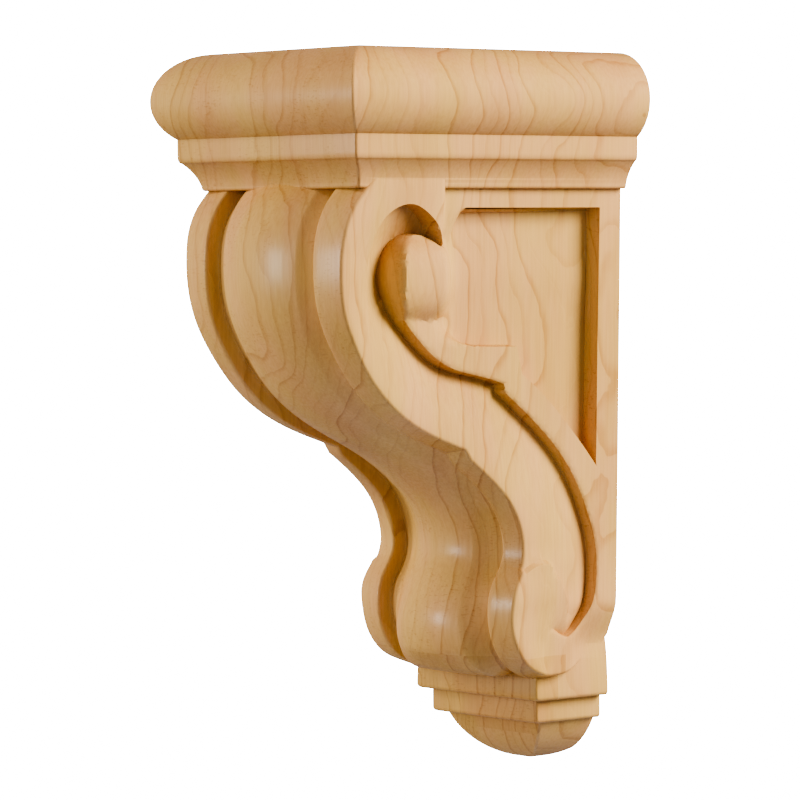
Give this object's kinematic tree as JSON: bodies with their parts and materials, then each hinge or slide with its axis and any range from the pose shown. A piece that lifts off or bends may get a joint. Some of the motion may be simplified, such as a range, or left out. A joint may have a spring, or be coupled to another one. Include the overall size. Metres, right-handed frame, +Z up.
{
  "type": "wooden corbel bracket",
  "caption": "Carved maple corbel with a bullnose cap, scrolled S-shaped front, sunk side panels, stepped base and flat back, for fixing to a wall or cabinet.",
  "frame": {"origin": "on the flat back, in the middle of the width, 165 mm below the top face", "axes": "+X across the width, and the carving is symmetric about X = 0; +Y out of the flat back, into the wall, so the front faces -Y; +Z up"},
  "size_m": [0.1488, 0.1755, 0.3303],
  "materials": {
    "maple": "clear satin lacquer over pale honey maple"
  },
  "bodies": {
    "root": {"corbel": "maple"}
  },
  "joints": []
}
